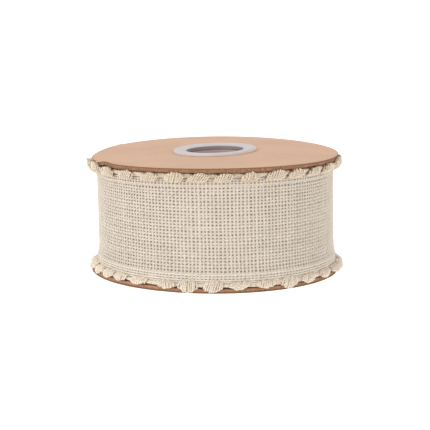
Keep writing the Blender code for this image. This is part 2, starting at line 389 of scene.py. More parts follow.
# Each piece's yarn, where it differs from the usual
FIELD_YARN = {
    "Flatness": 0.6,
    "Slub": 0.25,
    "Slub length": 2.2 * MM,
    "Wander": 0.09 * MM,
    "Wander length": 5.0 * MM,
    "Seed": 4.0,
}
SELVAGE_YARN = {"Flatness": 0.8, "Slub": 0.25, "Slub length": 1.5 * MM, "Smoothness": 1}
FRINGE_YARN = {
    "Plies": 2,
    "Smoothness": 8,
    "Step": 0.42 * MM,
    "Sides": 3,
    "Slub": 0.2,
    "Slub length": 1.5 * MM,
    "Wander": 0.1 * MM,
    "Wander length": 1.5 * MM,
}
INNER_YARN = {"Radius": 0.5 * MM, "Slub": 0.5, "Slub length": 2.5 * MM, "Smoothness": 1}

# How far a ply lies off the middle of its yarn, as a share of its own radius
PLY_OFFSET = 0.9


def geometry_tree(name, inputs):
    """A Geometry Nodes tree with named inputs: (its builder, the sockets that it is given)."""
    tree = bpy.data.node_groups.new(name, "GeometryNodeTree")
    tree.is_modifier = True
    tree.interface.new_socket("Geometry", in_out="OUTPUT", socket_type="NodeSocketGeometry")
    for label, (kind, _) in {"Geometry": ("Geometry", None), **inputs}.items():
        tree.interface.new_socket(label, in_out="INPUT", socket_type="NodeSocket" + kind)
    builder = Builder(tree)
    return builder, builder.node("NodeGroupInput").outputs


def yarn_noise(b, get, length, detail):
    """Noise whose features are as long as the named input says."""
    seed = b.node("ShaderNodeCombineXYZ", {0: get["Seed"], 1: get["Seed"], 2: get["Seed"]})
    scaled = b.scaled(b.node("GeometryNodeInputPosition"), b.math("DIVIDE", 1.0, get[length]))
    place = b.vector("ADD", scaled, seed)
    return b.node("ShaderNodeTexNoise", {"Vector": place, "Scale": 1.0, "Detail": detail})


def smooth_lines(b, get):
    """The centre lines as curves that wander a little, in even steps where a step is given."""
    lines = b.node("GeometryNodeMeshToCurve", {0: get["Geometry"]})
    smooth = b.node("GeometryNodeCurveSplineType", {0: lines}, spline_type="CATMULL_ROM")
    fine = b.node("GeometryNodeSetSplineResolution", {0: smooth, "Resolution": get["Smoothness"]})
    even = b.node("GeometryNodeResampleCurve", {0: fine, "Length": get["Step"]}, mode="LENGTH")
    own = b.node("GeometryNodeResampleCurve", {0: fine}, mode="EVALUATED")
    either = {"Switch": b.math("GREATER_THAN", get["Step"], 0.0), "False": own, "True": even}
    points = b.node("GeometryNodeSwitch", either, input_type="GEOMETRY")
    noise = yarn_noise(b, get, "Wander length", 1.0).outputs["Color"]
    strayed = b.vector("SUBTRACT", noise, (0.5, 0.5, 0.5))
    wander = b.scaled(strayed, b.math("MULTIPLY", get["Wander"], 2.0))
    return b.node("GeometryNodeSetPosition", {0: points, "Offset": wander})


def plied_tubes(b, get, lines):
    """The plies as tubes that turn round each other, thicker and thinner by the yarn's slubs."""
    swell = b.math("SUBTRACT", yarn_noise(b, get, "Slub length", 2.0), 0.5)
    swollen = b.math("MULTIPLY_ADD", swell, b.math("MULTIPLY", get["Slub"], 2.0), 1.0)
    thickness = b.math("MULTIPLY", swollen, b.attribute("thickness", "FLOAT"))
    radius = b.math("MULTIPLY", thickness, get["Radius"])
    amount = {0: lines, "Amount": get["Plies"]}
    copies = b.node("GeometryNodeDuplicateElements", amount, domain="SPLINE")
    length = b.node("GeometryNodeSplineParameter").outputs["Length"]
    share = b.math("DIVIDE", copies.outputs[1], get["Plies"])
    turns = b.math("ADD", b.math("DIVIDE", length, get["Twist length"]), share)
    angle = b.math("MULTIPLY", turns, FULL_TURN)
    normal = b.node("GeometryNodeInputNormal")
    side = b.vector("CROSS_PRODUCT", b.node("GeometryNodeInputTangent"), normal)
    along_normal = b.scaled(normal, b.math("COSINE", angle))
    way = b.vector("ADD", along_normal, b.scaled(side, b.math("SINE", angle)))
    is_plied = b.math("GREATER_THAN", get["Plies"], 1.5)
    apart = b.math("MULTIPLY", radius, b.math("MULTIPLY", is_plied, PLY_OFFSET))
    plied = b.node("GeometryNodeSetPosition", {0: copies, "Offset": b.scaled(way, apart)})
    sized = b.node("GeometryNodeSetCurveRadius", {0: plied, "Radius": radius})
    profile = b.node("GeometryNodeCurvePrimitiveCircle", {"Resolution": get["Sides"], "Radius": 1.0})
    width = b.node("GeometryNodeInputRadius")
    tube = {"Curve": sized, "Profile Curve": profile, "Scale": width, "Fill Caps": True}
    return b.node("GeometryNodeCurveToMesh", tube)


def carried_round(b, get, tubes):
    """Flat yarn set on the guide surface: x and y give its place there, and z how far off it stands."""
    position = b.node("GeometryNodeInputPosition")
    squeeze = b.node("ShaderNodeCombineXYZ", {0: 1.0, 1: 1.0, 2: get["Flatness"]})
    flat = b.vector("MULTIPLY", position, squeeze)
    flat_place = {"Geometry": tubes, "Name": "flat_place", "Value": flat}
    kept = b.node("GeometryNodeStoreNamedAttribute", flat_place, data_type="FLOAT_VECTOR")
    guide = b.node("GeometryNodeObjectInfo", {"Object": get["Guide"]})
    place = b.attribute("flat_place")
    span = (*np.subtract(GUIDE_HIGH, GUIDE_LOW), 1.0)
    uv = b.vector("DIVIDE", b.vector("SUBTRACT", place, (*GUIDE_LOW, 0.0)), span)

    def on_guide(value):
        inputs = {
            "Mesh": guide.outputs["Geometry"],
            "Value": value,
            "UV Map": b.attribute("flat"),
            "Sample UV": uv,
        }
        return b.node("GeometryNodeSampleUVSurface", inputs, data_type="FLOAT_VECTOR")

    outward = on_guide(b.attribute("outward"))
    wound = b.vector("ADD", on_guide(position), b.scaled(outward, b.part(place, 2)))
    return b.node("GeometryNodeSetPosition", {0: kept, "Position": wound})


def spun_yarn_tree():
    """The tree that spins yarn round flat centre lines and carries it round the roll."""
    b, get = geometry_tree("spun_yarn", YARN_INPUTS)
    wound = carried_round(b, get, plied_tubes(b, get, smooth_lines(b, get)))
    smooth = b.node("GeometryNodeSetShadeSmooth", {0: wound})
    real = b.node("GeometryNodeRealizeInstances", {0: smooth})
    dressed = b.node("GeometryNodeSetMaterial", {0: real, "Material": get["Material"]})
    b.node("NodeGroupOutput", {0: dressed})
    return b.tree


def set_inputs(modifier, values):
    """Sets a modifier's inputs by the names that its tree gives them."""
    for item in modifier.node_group.interface.items_tree:
        if item.in_out == "INPUT" and item.name in values:
            modifier[item.identifier] = values[item.name]


def add_object(name, mesh):
    made = bpy.data.objects.new(name, mesh)
    bpy.context.scene.collection.objects.link(made)
    return made


def plain_mesh(thing, name):
    """Turns an object with its modifiers into a piece with a plain mesh, and removes the first."""
    bpy.context.view_layer.update()
    evaluated = thing.evaluated_get(bpy.context.evaluated_depsgraph_get())
    mesh = bpy.data.meshes.new_from_object(evaluated)
    mesh.name = name
    bpy.data.objects.remove(thing)
    return add_object(name, mesh)


def finish_piece(piece, slot, *nodes):
    """Gives a finished piece its body and hides the frame's nodes that it stands for. slot is not used."""
    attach(piece, "root")
    if nodes:
        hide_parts(*nodes)


def point_numbers(points):
    """The number of each point in an array of them, rows by columns."""
    return np.arange(points[..., 0].size).reshape(points.shape[:2])


def quad_mesh(name, points, quads):
    """A mesh from arrays of points and of the four corners of each face."""
    mesh = bpy.data.meshes.new(name)
    mesh.from_pydata(points.reshape(-1, 3).tolist(), [], quads.reshape(-1, 4).tolist())
    return mesh


def ring_mesh(name, points):
    """A closed body from an array of sections: each runs up its outer side, and they run round the axis."""
    here = point_numbers(points)
    above = np.roll(here, -1, axis=1)
    return quad_mesh(name, points, joined(here, np.roll(here, -1, 0), np.roll(above, -1, 0), above))


def store_points(mesh, name, *parts):
    """Stores a number, or the three parts of a vector, for each point of a mesh."""
    kind, label = ("FLOAT_VECTOR", "vector") if len(parts) == 3 else ("FLOAT", "value")
    values = joined(*parts).astype(np.float32)
    mesh.attributes.new(name, kind, "POINT").data.foreach_set(label, values.reshape(-1))


def rounded(corners, steps=3):
    """A closed outline's points, from rows of radius, height and how much of the corner is rounded."""
    places = corners[:, :2]
    points = []
    for index, (corner, cut) in enumerate(zip(places, corners[:, 2])):
        if not cut:
            points.append(corner)
            continue
        ways = [places[index - 1] - corner, places[(index + 1) % len(places)] - corner]
        start, end = (corner + way / np.linalg.norm(way) * cut for way in ways)
        share = np.linspace(0, 1, steps + 1)[:, None]
        on_first, on_second = start + (corner - start) * share, corner + (end - corner) * share
        points.extend(on_first + (on_second - on_first) * share)
    return np.array(points)


def turned(profile, sides):
    """A profile of radius and height, turned round the axis: an array of sections."""
    angle = np.linspace(0, FULL_TURN, sides, endpoint=False)[:, None]
    return joined(profile[:, 0] * np.cos(angle), profile[:, 0] * np.sin(angle), profile[:, 1])


def bell(value, middle, width):
    """1 at the middle, and down to nearly 0 at twice the width from it."""
    return np.exp(-(((value - middle) / width) ** 2))


def smooth_shaded(piece, sharp=40):
    """Shades a piece smooth, apart from edges sharper than so many degrees."""
    piece.data.shade_smooth()
    piece.data.set_sharp_from_angle(angle=math.radians(sharp))
    return piece


def make_guide():
    """The outermost turn as a plain surface that yarn laid flat is carried to."""
    x, y = np.meshgrid(*map(np.linspace, GUIDE_LOW, GUIDE_HIGH, GUIDE_STEPS), indexing="ij")
    points = turn_point(x, y)
    here = point_numbers(points)
    quads = joined(here[:-1, :-1], here[1:, :-1], here[1:, 1:], here[:-1, 1:])
    mesh = quad_mesh("guide", points, quads)
    store_points(mesh, "outward", *np.moveaxis((turn_point(x, y, MM) - points) / MM, -1, 0))
    flat = (joined(x, y) - GUIDE_LOW) / np.subtract(GUIDE_HIGH, GUIDE_LOW)
    corner = np.zeros(len(mesh.loops), np.int32)
    mesh.loops.foreach_get("vertex_index", corner)
    uv = flat.reshape(-1, 2)[corner].astype(np.float32)
    mesh.uv_layers.new(name="flat").data.foreach_set("uv", uv.reshape(-1))
    guide = add_object("guide", mesh)
    guide.hide_render = True
    return guide


class Lines:
    """Centre lines of yarn, laid flat: runs of points, each with a thickness and a tone."""

    def __init__(self):
        self.points, self.edges, self.thickness, self.tone = [], [], [], []

    def add(self, points, thickness=1.0, tone=0.0):
        first, count = len(self.points), len(points)
        self.points.extend(points)
        self.edges.extend((first + step, first + step + 1) for step in range(count - 1))
        self.thickness.extend(np.broadcast_to(thickness, count).tolist())
        self.tone.extend([tone] * count)

    def spin(self, name, slot, nodes, yarn, values):
        """The yarn itself, as a finished piece. The values are those that its yarn's table doesn't give."""
        mesh = bpy.data.meshes.new(name + "_lines")
        mesh.from_pydata([tuple(point) for point in self.points], self.edges, [])
        store_points(mesh, "thickness", self.thickness)
        store_points(mesh, "tone", self.tone)
        flat = add_object(name + "_lines", mesh)
        modifier = flat.modifiers.new("spun_yarn", "NODES")
        modifier.node_group = bpy.data.node_groups.get("spun_yarn") or spun_yarn_tree()
        usual = {label: value for label, (_, value) in YARN_INPUTS.items()}
        usual["Guide"] = bpy.data.objects.get("guide") or make_guide()
        set_inputs(modifier, {**usual, **yarn, **values})
        finish_piece(plain_mesh(flat, name), slot, *nodes)


# A mix node's sockets for colours: the first, the second and the result
FIRST_COLOUR, SECOND_COLOUR, MIXED_COLOUR = 6, 7, 2

# The shade between a yarn's fibres, as a share of its colour
FIBRE_SHADE = (0.86, 0.82, 0.75)


def new_material(name, fixed):
    """A material whose shader has these fixed values: (material, builder, shader)."""
    made = bpy.data.materials.new(name)
    made.use_nodes = True
    shader = made.node_tree.nodes["Principled BSDF"]
    for label, value in fixed.items():
        shader.inputs[label].default_value = value
    return made, Builder(made.node_tree), shader


def mix(b, share, first, second, blend="MIX"):
    made = b.node("ShaderNodeMix", {"Factor": share}, data_type="RGBA", blend_type=blend)
    b.feed(made.inputs[FIRST_COLOUR], first)
    b.feed(made.inputs[SECOND_COLOUR], second)
    return made.outputs[MIXED_COLOUR]


def noise_field(b, vector, scale, detail=2.0, roughness=0.5):
    inputs = {"Vector": vector, "Scale": scale, "Detail": detail, "Roughness": roughness}
    return b.node("ShaderNodeTexNoise", inputs).outputs[0]


def spread(b, value, low, high, to_low=0.0, to_high=1.0):
    """A value from low to high, spread over to_low to to_high and held there beyond them."""
    inputs = {0: value, 1: low, 2: high, 3: to_low, 4: to_high}
    return b.node("ShaderNodeMapRange", inputs).outputs[0]


def mottled(b, noise, colour, darkest, palest):
    """A colour between two shares of itself, as a noise goes."""
    return mix(b, spread(b, noise, 0.3, 0.7), rgba(colour, darkest), rgba(colour, palest))


def add_relief(b, shader, height, strength, distance):
    bump = b.node("ShaderNodeBump", {"Height": height, "Strength": strength, "Distance": distance})
    b.feed(shader.inputs["Normal"], bump)


def rgba(colour, factor=1.0):
    return (*(channel * factor for channel in colour[:3]), 1.0)


def yarn_material(name, plain, pale, sheen):
    """Spun yarn: a tone for each yarn, broad patches, and fine fibres with shade between them."""
    fixed = {"Roughness": 0.9, "Specular IOR Level": 0.2, "Sheen Weight": sheen, "Sheen Roughness": 0.6}
    made, b, shader = new_material(name, fixed)
    place = b.stored("flat_place", "Vector")
    patch = noise_field(b, place, 160.0, 3.0, 0.6)
    fibre = noise_field(b, place, 2600.0, 3.0, 0.7)
    base = mix(b, b.stored("tone"), mottled(b, patch, plain, 0.94, 1.04), rgba(pale))
    speck = mix(b, spread(b, fibre, 0.35, 0.6), rgba(FIBRE_SHADE), rgba((1.0, 1.0, 1.0)))
    b.feed(shader.inputs["Base Color"], mix(b, 1.0, base, speck, "MULTIPLY"))
    add_relief(b, shader, fibre, 0.5, 0.2 * MM)
    return made


def cloth_yarn(settings):
    """The cream yarn that the field and the selvages share."""
    return yarn_material("cream_cloth_yarn", settings.cream, settings.binding, 0.1)


def field_lines(settings, chance):
    """The woven field: warps round the roll, and wefts across it that run on through the selvages."""
    lines = Lines()
    crimp, weft_lift, selvage_lift = 0.21 * MM, 0.10 * MM, 0.6 * MM
    columns = int((ONE_TURN - TURN_START) / settings.column_pitch)
    pitch = (ONE_TURN - TURN_START) / columns
    row_pitch = (FIELD_HIGH - FIELD_LOW) / settings.rows
    along = TURN_START + (np.arange(columns) + 0.5) * pitch
    across = FIELD_LOW + (np.arange(settings.rows) + 0.5) * row_pitch
    column_sign = 1 - 2 * (np.arange(columns) % 2)
    row_sign = 1 - 2 * (np.arange(settings.rows) % 2)
    for row, y in enumerate(across):
        waves = (chance.uniform(0, FULL_TURN), chance.uniform(0, FULL_TURN))
        sway = 0.06 * np.sin(along / (9 * MM) + waves[0]) + 0.04 * np.sin(along / (3.7 * MM) + waves[1])
        level = y + (chance.uniform(-0.05, 0.05) + sway) * MM
        height = crimp * row_sign[row] * column_sign
        lines.add(joined(along, level, height), chance.uniform(0.94, 1.06), chance.uniform(0.0, 0.2))
    ends = EDGE_FROM_BOARD + np.array([0.2, 1.2, 2.1]) * MM
    crossings = np.concatenate([ends, across, RIBBON_GAP - ends[::-1]])
    for column, x in enumerate(along):
        over = weft_lift - crimp * row_sign * column_sign[column]
        height = np.pad(over, len(ends), constant_values=selvage_lift)
        sway = 0.07 * np.sin(crossings / (6 * MM) + chance.uniform(0, FULL_TURN))
        level = x + (chance.uniform(-0.06, 0.06) + sway) * MM
        thickness = chance.uniform(0.94, 1.06) + (0.2 if chance.random() < 0.04 else 0.0)
        lines.add(joined(level, crossings, height), thickness, chance.uniform(0.0, 0.1))
    return lines


class RIBBON_OT_field(bpy.types.Operator):
    """Weave the open field of the outermost turn"""

    bl_idname = "ribbon.field"
    bl_label = "Woven field"

    def execute(self, context):
        settings = context.scene.ribbon_cloth
        lines = field_lines(settings, random.Random(3))
        values = {"Radius": settings.yarn_radius, "Material": cloth_yarn(settings)}
        lines.spin("woven_field", "ribbon_cloth", ["ribbon_roll"], FIELD_YARN, values)
        return {"FINISHED"}


# Heights between which the lower board's look, with the painted light and shade on its rim, gives way to the
# upper board's
BETWEEN_BOARDS = (5 * MM, 6 * MM)


def kraft_material(settings):
    """Kraft board: mottled faces with flecks, a fibrous cut edge in darker layers, and painted light and
    shade.
    """
    made, b, shader = new_material("kraft_board", {"Roughness": 0.9, "Specular IOR Level": 0.15})
    place = b.node("ShaderNodeTexCoord").outputs["Object"]
    edge_place = b.stored("edge_place", "Vector")
    rim = b.stored("rim")
    patch = noise_field(b, place, 60.0, 4.0, 0.6)
    fibre = noise_field(b, b.vector("MULTIPLY", place, (1.0, 2.2, 1.0)), 900.0, 4.0, 0.7)
    strand = noise_field(b, b.vector("MULTIPLY", edge_place, (1000.0, 3600.0, 1.0)), 1.0, 4.0, 0.7)
    # The faces towards the ribbon take the lining, whose paleness is partly painted light
    pulp = mix(b, b.stored("inner"), rgba(settings.face), rgba(settings.lining_and_painted_light))
    face = mix(b, spread(b, patch, 0.3, 0.7), b.scaled(pulp, 0.94), b.scaled(pulp, 1.04))
    fleck = b.math("MULTIPLY", spread(b, fibre, 0.60, 0.75), settings.fibre)
    flecked = mix(b, fleck, face, rgba(settings.core, 1.7))
    level = b.math("DIVIDE", b.part(edge_place, 1), BOARD_THICKNESS)
    is_upper = spread(b, b.part(place, 2), *BETWEEN_BOARDS)
    outer = b.math("MAXIMUM", spread(b, level, 0.62, 0.86), spread(b, level, 0.2, 0.05))
    darkened = b.math("MULTIPLY", outer, b.math("MULTIPLY", is_upper, 0.85))
    body = mix(b, spread(b, strand, 0.40, 0.58), rgba(settings.core, 0.50), rgba(settings.core, 1.05))
    layered = mix(b, darkened, body, rgba(settings.core, 0.5))
    # Painted light and shade on the lower board's rim: its upper half lighter, its lower half darker
    low = spread(b, level, 0.40, 0.65, 0.60, 1.20)
    shade = b.math("MULTIPLY_ADD", is_upper, b.math("SUBTRACT", 1.0, low), low)
    b.feed(shader.inputs["Base Color"], mix(b, rim, flecked, b.scaled(layered, shade)))
    relief = b.math("ADD", b.math("MULTIPLY", fibre, 0.15), b.math("MULTIPLY", strand, rim))
    add_relief(b, shader, relief, 0.6, 0.25 * MM)
    return made


# A board's rim from its lower face up: how far in and how high, in mm, and its share of the roughness
BOARD_RIM = (
    (0.16, 0.0, 0.7),
    (0.03, 0.08, 1),
    (0.0, 0.3, 1),
    (0.06, 0.5, 1),
    (0.01, 0.72, 1),
    (0.05, 0.95, 1),
    (0.04, 1.12, 1),
    (0.16, 1.2, 0.3),
)
BOARD_SIDES = 360
FACE_STEPS = 22
RIM_ROUGHNESS = 0.028 * MM
UPPER_INSET = 0.4 * MM

# How far in from the rim the nick and the bends reach, and how far up the fraying does
NICK_REACH = 1.2 * MM
BEND_REACH = 5 * MM
FRAY_HEIGHT = 0.4 * MM


def board_profile(outer):
    """A board's section: flat faces in steps, and a rim whose layers stand unevenly."""
    steps = np.linspace(BOARD_HOLE_RADIUS, outer - 0.6 * MM, FACE_STEPS)
    below = [(radius, 0.0, 0.0) for radius in steps]
    rim = [(outer - back * MM, height * MM, rough) for back, height, rough in BOARD_RIM]
    above = [(radius, BOARD_THICKNESS, 0.0) for radius in steps[::-1]]
    return np.array(below + rim + above)


def make_board(name, base, upper, seed, finish, node):
    """One round board with a rough rim. The upper one is nicked, frayed, and bent as the roll's end is."""
    outer = BOARD_RADIUS - (UPPER_INSET if upper else 0.0)
    profile = board_profile(outer)
    distance, layer, share = profile.T
    points = turned(profile, BOARD_SIDES)
    chance = np.random.default_rng(seed)
    rough = chance.normal(0.0, RIM_ROUGHNESS, (BOARD_SIDES, len(profile)))
    angle = np.linspace(0, FULL_TURN, BOARD_SIDES, endpoint=False)[:, None]
    degrees = np.degrees(angle)

    def near_rim(reach):
        return np.clip((distance - outer + reach) / reach, 0, 1)

    nick = bell(angle, NICK_ANGLE, NICK_WIDTH) * NICK_DEPTH * near_rim(NICK_REACH) * upper
    radius = distance + (rough + np.roll(rough, 1, axis=0)) * share - nick
    points[..., :2] *= (radius / distance)[..., None]
    points[..., 2] += base
    if upper:
        points[..., 2] += board_rise(points[..., 0], points[..., 1]) + nick * 0.5
        bend = sum(height * MM * bell(degrees, middle, width) for middle, width, height in RIM_WAVES)
        points[..., 2] += bend * near_rim(BEND_REACH) ** 2
        hanging = np.convolve(chance.uniform(0.0, 0.5, BOARD_SIDES + 2), (0.25, 0.5, 0.25), "valid")
        frayed = (hanging[:, None] + FRAY_DEPTH * bell(degrees, 270, FRAY_SPAN)) * MM
        points[..., 2] -= frayed * share * np.clip(1 - layer / FRAY_HEIGHT, 0, 1)
    mesh = ring_mesh(name, points)
    store_points(mesh, "rim", np.tile(share, BOARD_SIDES))
    store_points(mesh, "inner", np.tile((layer < BOARD_THICKNESS / 2) == upper, BOARD_SIDES))
    store_points(mesh, "edge_place", angle * BOARD_RADIUS, layer, 0.0)
    mesh.materials.append(finish)
    finish_piece(smooth_shaded(add_object(name, mesh), 50), "kraft_board", node)


class RIBBON_OT_boards(bpy.types.Operator):
    """Cut the two kraft boards"""

    bl_idname = "ribbon.boards"
    bl_label = "Boards"

    def execute(self, context):
        finish = kraft_material(context.scene.ribbon_boards)
        make_board("lower_board", BOTTOM_BOARD_Z, False, 5, finish, "board_bottom")
        make_board("upper_board", ROLL_CEILING_Z, True, 6, finish, "board_top")
        return {"FINISHED"}


def plastic_material(settings):
    """Milky moulded plastic, faintly clouded and scuffed. The wall inside it has painted shade and light, in
    bands.
    """
    made, b, shader = new_material("hub_plastic", {})
    place = b.node("ShaderNodeTexCoord").outputs["Object"]
    cloud = noise_field(b, place, 140.0, 3.0, 0.6)
    scuff = noise_field(b, place, 1500.0, 3.0, 0.7)
    down = b.stored("down")
    # Painted shade on the bore's wall, darker a little way down, and a painted lit band further down
    wall = mix(b, spread(b, down, 0.35, 0.55), rgba(settings.bore_painted_shade), rgba(settings.bore_painted_shade, 0.6))
    bore_painted_light_and_shade = mix(b, spread(b, down, 0.85, 1.05), wall, rgba(settings.bore_painted_shade, 1.6))
    moulded = mottled(b, cloud, settings.plastic, 0.94, 1.03)
    b.feed(shader.inputs["Base Color"], mix(b, b.stored("inside"), moulded, bore_painted_light_and_shade))
    b.feed(shader.inputs["Roughness"], spread(b, scuff, 0.3, 0.7, 0.38, 0.55))
    add_relief(b, shader, scuff, 0.15, 0.1 * MM)
    return made


# Sections of the hub's two parts, in mm: radius, height and how much of the corner is rounded. The cap's
# heights are from the upper board's face
HUB_TUBE = (
    (10.7, TUBE_TOP_Z / MM, 0.0),
    (10.7, 0.75, 0.2),
    (13.0, 0.0, 0.3),
    (14.5, 0.0, 0.3),
    (15.0, 0.4, 0.2),
    (15.0, 1.0, 0.15),
    (11.7, 1.0, 0.3),
    (11.7, TUBE_TOP_Z / MM, 0.0),
)
HUB_CAP = (
    (10.05, -2.6, 0.0),
    (9.6, -2.9, 0.0),
    (9.6, -7.0, 0.15),
    (10.2, -7.0, 0.15),
    (10.2, -2.9, 0.0),
    (10.6, -2.3, 0.0),
    (10.6, -1.0, 0.0),
    (11.4, -1.0, 0.2),
    (11.4, 0.03, 0.1),
    (15.0, 0.03, 0.1),
    (15.0, 0.8, 0.4),
    (14.4, 1.3, 0.4),
    (10.65, 0.75, 0.15),
    (10.35, 0.5, 0.15),
    (10.35, -0.75, 0.0),
    (10.2, -0.95, 0.0),
    (10.15, -1.15, 0.0),
    (10.1, -1.35, 0.0),
)
HUB_SIDES = 144

# The step in radius over which the cap's plastic gives way to the painted shade on the wall of its mouth
MOUTH_EDGE = 0.15 * MM


class RIBBON_OT_hub(bpy.types.Operator):
    """Mould the hub: its tube with a foot, and the cap pressed in from above"""

    bl_idname = "ribbon.hub"
    bl_label = "Hub"

    def execute(self, context):
        finish = plastic_material(context.scene.ribbon_hub)
        upright = Matrix.Identity(4)
        seated = Matrix.Translation((0, 0, TOP_FACE_Z)) @ Matrix.Rotation(-CAP_TILT, 4, "Y")
        for name, corners, place, node in (
            ("tube_and_foot", HUB_TUBE, upright, "hub_tube"),
            ("cap", HUB_CAP, seated, "hub_cap"),
        ):
            outline = rounded(np.array(corners) * MM)
            mesh = ring_mesh(name, turned(outline, HUB_SIDES))
            # Where the bore's painted shade and light apply, and how far down the wall each point lies, in mm
            inward = (CAP_MOUTH_RADIUS + MOUTH_EDGE - outline[:, 0]) / MOUTH_EDGE
            store_points(mesh, "inside", np.tile(np.clip(inward, 0, 1), HUB_SIDES))
            store_points(mesh, "down", np.tile(-outline[:, 1] / MM, HUB_SIDES))
            mesh.transform(place)
            mesh.materials.append(finish)
            finish_piece(smooth_shaded(add_object(name, mesh)), "hub_plastic", node)
        return {"FINISHED"}


# The sheet of the turns inside: how many points round a turn and across, how far out its two sides lie, and
# the pitch of its warps
POINTS_A_TURN = 80
POINTS_ACROSS = 7
SHEET_SIDES = (0.6 * MM, -0.4 * MM)
SHEET_ROW_PITCH = 1.2 * MM


def wound_cloth_material(settings):
    """The turns inside, as far as they show through the outermost one: the same weave, in its shade."""
    made, b, shader = new_material("wound_cloth", {"Roughness": 0.95, "Specular IOR Level": 0.1})
    place = b.stored("flat_place", "Vector")
    counted = b.vector("DIVIDE", place, (settings.column_pitch, SHEET_ROW_PITCH, 1.0))
    parts = [b.part(b.vector("FRACTION", counted), axis) for axis in (0, 1)]
    gaps = [b.math("ABSOLUTE", b.math("SUBTRACT", part, 0.5)) for part in parts]
    open_x, open_y = (spread(b, gap, 0.26, 0.36) for gap in gaps)
    # Painted shade in the holes of the turns inside
    hole = b.math("MULTIPLY", b.math("MULTIPLY", open_x, open_y), 0.3)
    thread = noise_field(b, place, 500.0, 3.0, 0.6)
    yarn = mix(b, thread, rgba(settings.under, 0.94), rgba(settings.under, 1.06))
    b.feed(shader.inputs["Base Color"], mix(b, hole, yarn, rgba(settings.under, 0.62)))
    height = b.math("SUBTRACT", 1.0, b.math("MAXIMUM", open_x, open_y))
    add_relief(b, shader, height, 0.5, 0.3 * MM)
    return made


def wound_cloth_mesh():
    """All the turns inside as one thin sheet, closed at its ends and edges, with its flat place stored."""
    along = np.linspace(-TURNS_INSIDE * ONE_TURN, TURN_START, TURNS_INSIDE * POINTS_A_TURN)
    across = np.linspace(EDGE_FROM_BOARD, RIBBON_GAP - EDGE_FROM_BOARD, POINTS_ACROSS)
    x, y = np.meshgrid(along, np.concatenate([across, across[::-1]]), indexing="ij")
    points = turn_point(x, y, np.repeat(SHEET_SIDES, POINTS_ACROSS))
    here = point_numbers(points)
    after = np.roll(here, -1, axis=1)
    quads = [joined(here[:-1], here[1:], after[1:], after[:-1]).reshape(-1, 4)]
    for end, turn in ((here[0], 1), (here[-1], -1)):
        near, far = end[:POINTS_ACROSS], end[:POINTS_ACROSS - 1:-1]
        quads.append(joined(near[:-1], near[1:], far[1:], far[:-1])[:, ::turn])
    mesh = quad_mesh("wound_cloth", points, np.concatenate(quads))
    store_points(mesh, "flat_place", x, y, 0.0)
    return mesh


class RIBBON_OT_wound_cloth(bpy.types.Operator):
    """Wind the turns inside the outermost one"""

    bl_idname = "ribbon.wound_cloth"
    bl_label = "Wound cloth"

    def execute(self, context):
        mesh = wound_cloth_mesh()
        mesh.materials.append(wound_cloth_material(context.scene.ribbon_cloth))
        mesh.shade_smooth()
        finish_piece(add_object("wound_cloth", mesh), "ribbon_cloth", "ribbon_roll")
        return {"FINISHED"}


# From one point of a selvage's warp to the next
SELVAGE_STEP = 1.6 * MM


def selvage_lines(edge, chance):
    """One selvage: its warps, a row of small holes on each side of the narrow one."""
    lines = Lines()
    along = np.linspace(TURN_START, ONE_TURN, int((ONE_TURN - TURN_START) / SELVAGE_STEP))
    for inward, thickness, out, tone in SELVAGE_WARPS:
        wave = np.array([chance.uniform(-0.05, 0.05) for _ in along])
        level = edge.level(EDGE_FROM_BOARD + (inward + wave) * MM)
        lines.add(joined(along, level, out * MM), thickness, tone * edge.warp_tone_and_light)
    return lines


class RIBBON_OT_selvages(bpy.types.Operator):
    """Bind the two edges of the outermost turn"""

    bl_idname = "ribbon.selvages"
    bl_label = "Selvages"

    def execute(self, context):
        finish = bpy.data.materials.get("cream_cloth_yarn") or cloth_yarn(context.scene.ribbon_cloth)
        for edge in EDGES:
            lines = selvage_lines(edge, random.Random(7 + edge.upper))
            values = {"Seed": 8.0 + edge.upper, "Material": finish}
            lines.spin(edge.name + "_selvage", "ribbon_cloth", [edge.node], SELVAGE_YARN, values)
        return {"FINISHED"}


def puff_along(place):
    """Where on the flat ribbon a place is, given in degrees round from the front."""
    return (place + 180) % 360 / 360 * ONE_TURN


def puff_places(edge, chance):
    """The table's puffs at the front, and more of them at even places on to the turn's end behind."""
    puffs = list(edge.puffs)
    half = PUFF_SPACING / 2
    runs = ((puffs[-1][0], BEHIND - half), (BEHIND + half, 360 + puffs[0][0]))
    for index, (start, stop) in enumerate(runs):
        count = round((stop - start) / PUFF_SPACING)
        for step in range(1 - index, count + 1 - index):
            place = start + (stop - start) * step / count
            lean = chance.uniform(0.6, 2.4) * (1 if edge.upper else -1)
            puffs.append((place, lean, chance.uniform(-0.1, 0.4), chance.choice((SHELL, SHELL, LOOSE))))
    return sorted((place % 360, lean * MM, over, kind) for place, lean, over, kind in puffs)


# How pale the rows that fill a puff are beside its first, as painted shade inside it, and how far round
# the roll, in degrees, its loops still turn edge on the more
FILLING_TONE_SHADED = 0.3
MOST_TURNED = 60


